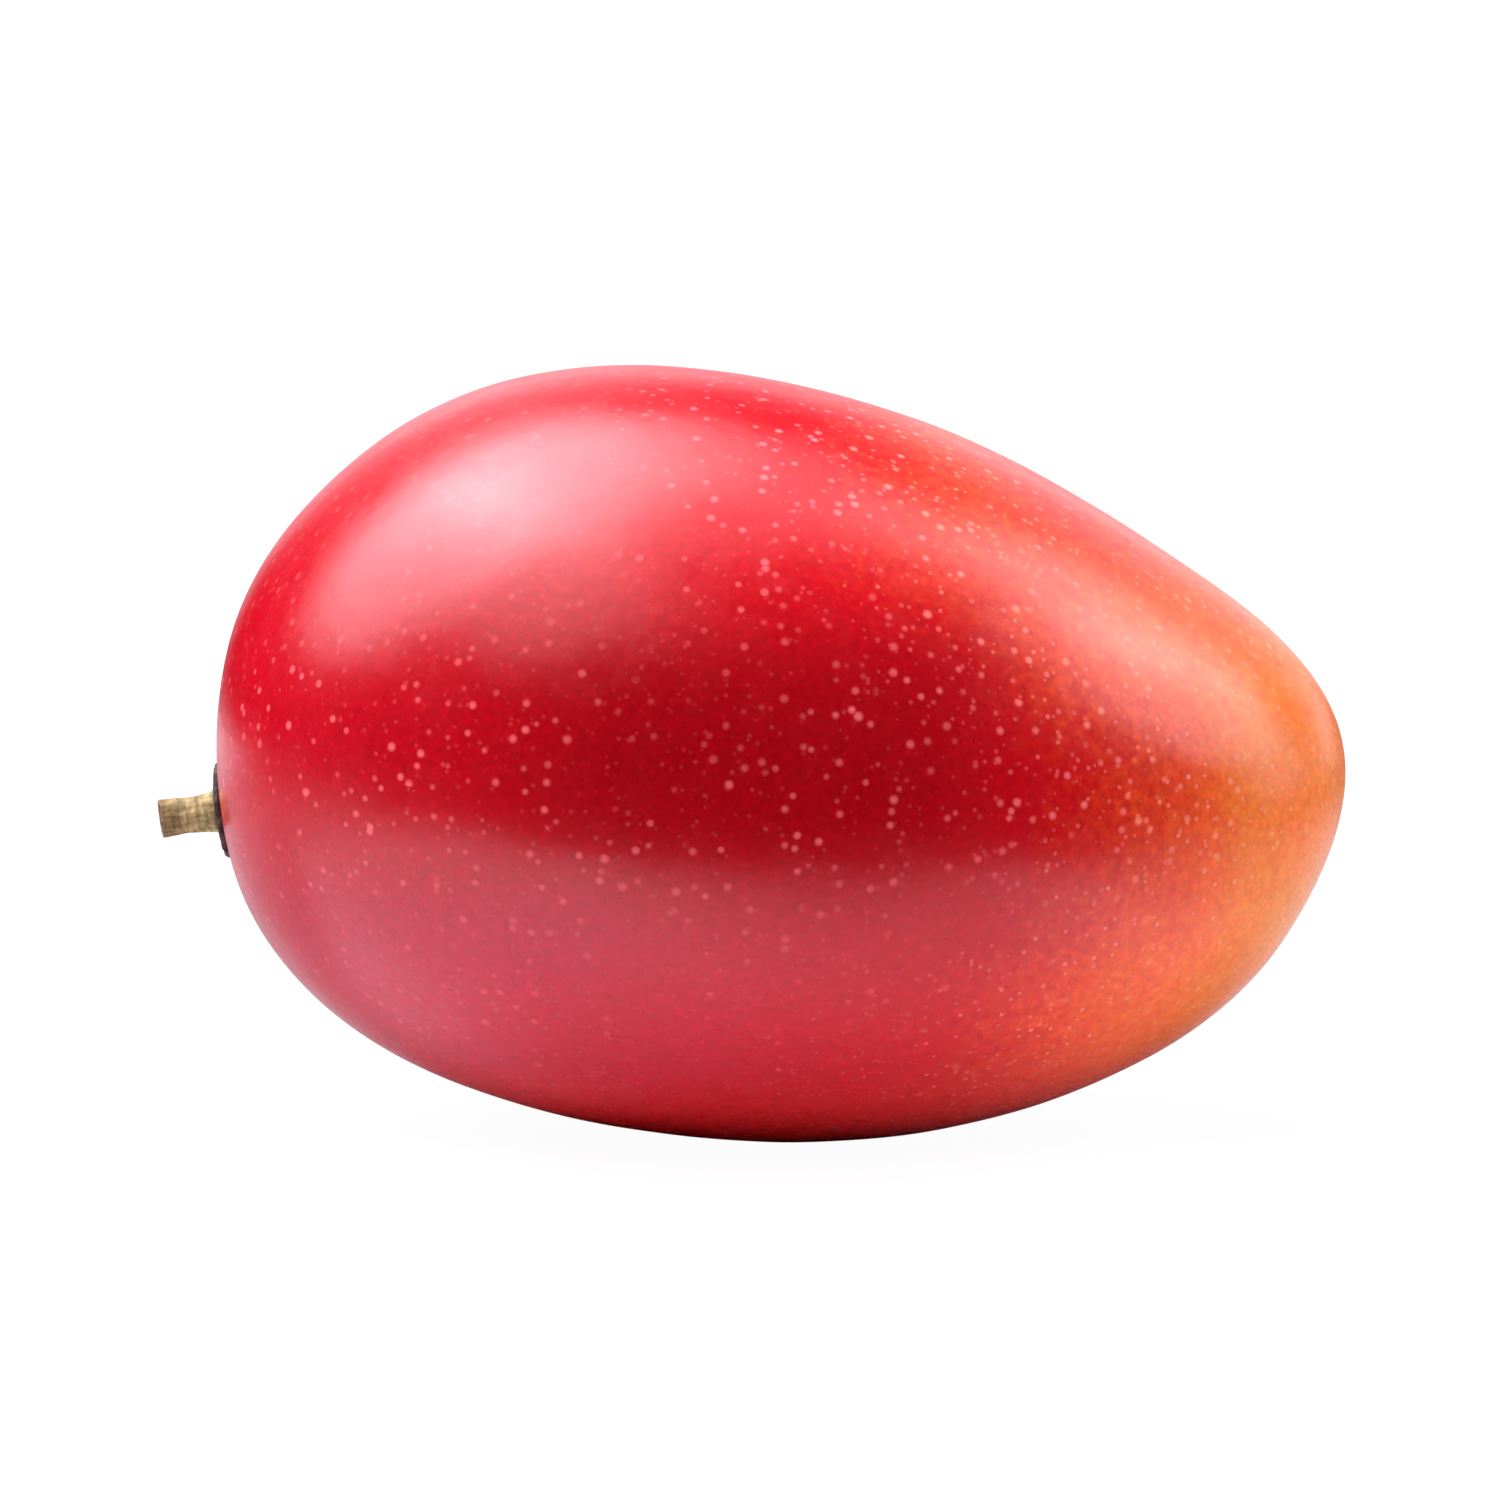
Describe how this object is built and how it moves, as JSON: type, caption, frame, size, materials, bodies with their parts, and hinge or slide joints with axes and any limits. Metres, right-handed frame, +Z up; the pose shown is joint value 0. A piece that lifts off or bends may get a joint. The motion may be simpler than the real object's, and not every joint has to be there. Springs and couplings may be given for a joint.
{
  "type": "mango",
  "caption": "Whole ripe red mango lying on one cheek, egg-shaped with a blunt narrow end, a short cut stem and a small dry disc at its base.",
  "frame": {"origin": "on the surface the fruit lies on, under the middle of the whole part's box", "axes": "+X to the fruit's narrow end, so the stem points along -X; +Y to the belly; +Z up, away from the surface it lies on"},
  "size_m": [0.1218, 0.0856, 0.0787],
  "materials": {
    "skin": "waxy, glossy fruit skin, deep red going to orange at the narrow end, with small pale dots",
    "stem_bark": "dry tan stalk with fine ridges and a darker brown cut end",
    "dry_calyx": "dry, rough, dark brown"
  },
  "bodies": {
    "root": {"fruit": "skin", "stem": "stem_bark", "calyx_disc": "dry_calyx"}
  },
  "joints": []
}
